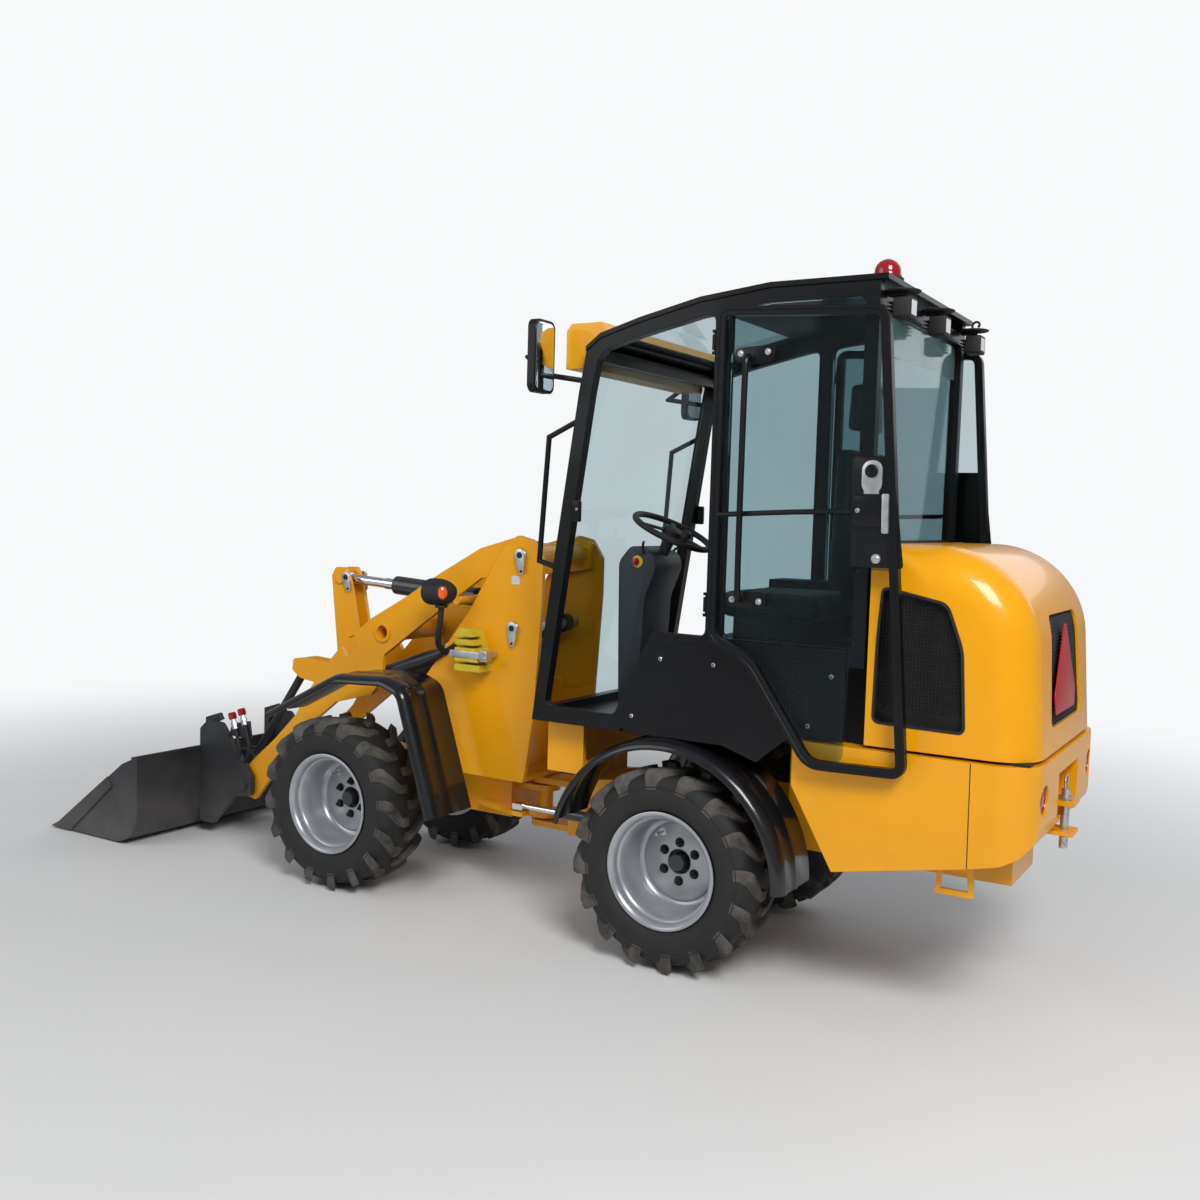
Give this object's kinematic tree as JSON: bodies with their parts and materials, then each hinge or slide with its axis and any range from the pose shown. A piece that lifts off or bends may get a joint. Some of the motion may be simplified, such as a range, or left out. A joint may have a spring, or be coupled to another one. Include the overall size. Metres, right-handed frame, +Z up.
{
  "type": "wheel loader",
  "caption": "Compact articulated wheel loader with a glazed cab, doors folded back, lift arms and a front bucket",
  "frame": {"origin": "on the ground under the middle of the machine's length and width, with the wheels straight and the bucket flat", "axes": "+X is the machine's left, +Y its rear, so the bucket points to -Y, and +Z is up"},
  "size_m": [1.31, 4.651, 2.4722],
  "materials": {
    "yellow_paint": "gloss",
    "black_paint": "satin",
    "charcoal_paint": "satin",
    "silver_paint": "satin",
    "tyre_rubber": "matte",
    "chrome_rod": "polished",
    "bare_steel": "zinc plated",
    "tinted_glass": "tinted",
    "seat_cloth": "woven",
    "black_plastic": "matte",
    "red_lens": "clear lens",
    "cast_iron": "painted casting",
    "red_plate": "reflective"
  },
  "bodies": {
    "chassis": {"beacon": "red_lens", "cab_frame": "black_paint", "cab_glass": "tinted_glass", "cab_tub": "black_paint", "engine": "cast_iron", "front_visor": "yellow_paint", "hinges": "black_paint", "hitch": "black_paint", "hitch_pin": "bare_steel", "mirrors": "black_plastic", "rear_axle": "black_paint", "rear_body": "yellow_paint", "rear_fenders": "black_paint", "rear_frame": "yellow_paint", "roof": "black_paint", "seat": "seat_cloth", "side_console": "black_plastic", "steering_barrel": "black_paint", "steering_column": "black_plastic", "tail_lamps": "red_lens", "work_lamps": "black_plastic"},
    "front_unit": {"front_frame": "yellow_paint", "tower_pins": "bare_steel", "front_axle": "black_paint", "front_fenders": "black_paint", "front_lamps": "black_plastic", "wheel_chock": "yellow_paint"},
    "boom": {"boom": "yellow_paint"},
    "lift_barrels": {"lift_barrels": "black_paint"},
    "lift_rods": {"lift_rods": "chrome_rod"},
    "tilt_barrel": {"tilt_barrel": "black_paint"},
    "tilt_rod": {"tilt_rod": "chrome_rod"},
    "bell_crank": {"bell_crank": "yellow_paint"},
    "tip_link": {"tip_link": "charcoal_paint"},
    "tool_carrier": {"tool_carrier": "charcoal_paint", "bucket": "charcoal_paint"},
    "steering_rod": {"steering_rod": "chrome_rod"},
    "hood": {"engine_hood": "yellow_paint", "hood_grilles": "black_paint", "rear_triangle": "red_plate"},
    "door_left": {"door_left_frame": "black_paint", "door_left_glass": "tinted_glass"},
    "door_right": {"door_right_frame": "black_paint", "door_right_glass": "tinted_glass"},
    "wheel_front_left": {"tyre_front_left": "tyre_rubber", "rim_front_left": "silver_paint"},
    "wheel_front_right": {"tyre_front_right": "tyre_rubber", "rim_front_right": "silver_paint"},
    "wheel_rear_left": {"tyre_rear_left": "tyre_rubber", "rim_rear_left": "silver_paint"},
    "wheel_rear_right": {"tyre_rear_right": "tyre_rubber", "rim_rear_right": "silver_paint"}
  },
  "joints": [
    {"name": "steering", "type": "hinge", "parent": "chassis", "child": "front_unit", "pos_m": [0, 0.2, 0.405], "axis": [0, 0, 1], "range_deg": [-40, 40]},
    {"name": "boom_lift", "type": "hinge", "parent": "front_unit", "child": "boom", "pos_m": [0, 0.205, 1.447], "axis": [-1, 0, 0], "range_deg": [0, 75]},
    {"name": "lift_barrel_swing", "type": "hinge", "parent": "front_unit", "child": "lift_barrels", "pos_m": [0, 0.175, 1.149], "axis": [-1, 0, 0], "range_deg": [0, 74]},
    {"name": "lift_rod_stroke", "type": "slide", "parent": "lift_barrels", "child": "lift_rods", "axis": [0, -0.9451, -0.3267], "range_m": [0, 0.37]},
    {"name": "bell_crank_turn", "type": "hinge", "parent": "boom", "child": "bell_crank", "pos_m": [0, -0.86, 0.8], "axis": [-1, 0, 0], "range_deg": [-37, 25]},
    {"name": "tilt_barrel_swing", "type": "hinge", "parent": "boom", "child": "tilt_barrel", "pos_m": [0, -0.15, 1.241], "axis": [-1, 0, 0], "range_deg": [-8, 6]},
    {"name": "tilt_rod_stroke", "type": "slide", "parent": "tilt_barrel", "child": "tilt_rod", "axis": [0, -0.9982, 0.0595], "range_m": [-0.2, 0.3]},
    {"name": "tip_link_turn", "type": "hinge", "parent": "bell_crank", "child": "tip_link", "pos_m": [0, -1.213, 0.843], "axis": [-1, 0, 0], "range_deg": [-29, 43]},
    {"name": "bucket_tilt", "type": "hinge", "parent": "boom", "child": "tool_carrier", "pos_m": [0, -1.385, 0.28], "axis": [-1, 0, 0], "range_deg": [-60, 40]},
    {"name": "steering_rod_stroke", "type": "slide", "parent": "chassis", "child": "steering_rod", "axis": [0, -1, 0], "range_m": [-0.125, 0.125]},
    {"name": "hood_lift", "type": "hinge", "parent": "chassis", "child": "hood", "pos_m": [0, 1.776, 1.52], "axis": [1, 0, 0], "range_deg": [0, 60]},
    {"name": "door_left_swing", "type": "hinge", "parent": "chassis", "child": "door_left", "pos_m": [0.543, 1.195, 1.7], "axis": [0, 0, -1], "range_deg": [0, 180]},
    {"name": "door_right_swing", "type": "hinge", "parent": "chassis", "child": "door_right", "pos_m": [-0.543, 1.195, 1.7], "axis": [0, 0, 1], "range_deg": [0, 180]},
    {"name": "wheel_front_left_spin", "type": "hinge", "parent": "front_unit", "child": "wheel_front_left", "pos_m": [0.417, -0.56, 0.37], "axis": [1, 0, 0], "continuous": true},
    {"name": "wheel_front_right_spin", "type": "hinge", "parent": "front_unit", "child": "wheel_front_right", "pos_m": [-0.417, -0.56, 0.37], "axis": [1, 0, 0], "continuous": true},
    {"name": "wheel_rear_left_spin", "type": "hinge", "parent": "chassis", "child": "wheel_rear_left", "pos_m": [0.417, 1.04, 0.37], "axis": [1, 0, 0], "continuous": true},
    {"name": "wheel_rear_right_spin", "type": "hinge", "parent": "chassis", "child": "wheel_rear_right", "pos_m": [-0.417, 1.04, 0.37], "axis": [1, 0, 0], "continuous": true}
  ],
  "couplings": [
    {"joint": "lift_barrel_swing", "follows": "boom_lift", "ratio": 0.97579},
    {"joint": "lift_rod_stroke", "follows": "boom_lift", "m_per_rad": 0.27906},
    {"joint": "bell_crank_turn", "follows": "bucket_tilt", "ratio": 0.61053},
    {"joint": "tip_link_turn", "follows": "bucket_tilt", "ratio": -0.7119},
    {"joint": "tilt_barrel_swing", "follows": "bucket_tilt", "ratio": 0.11734},
    {"joint": "tilt_rod_stroke", "follows": "bucket_tilt", "m_per_rad": -0.2845},
    {"joint": "steering_rod_stroke", "follows": "steering", "m_per_rad": -0.174}
  ]
}
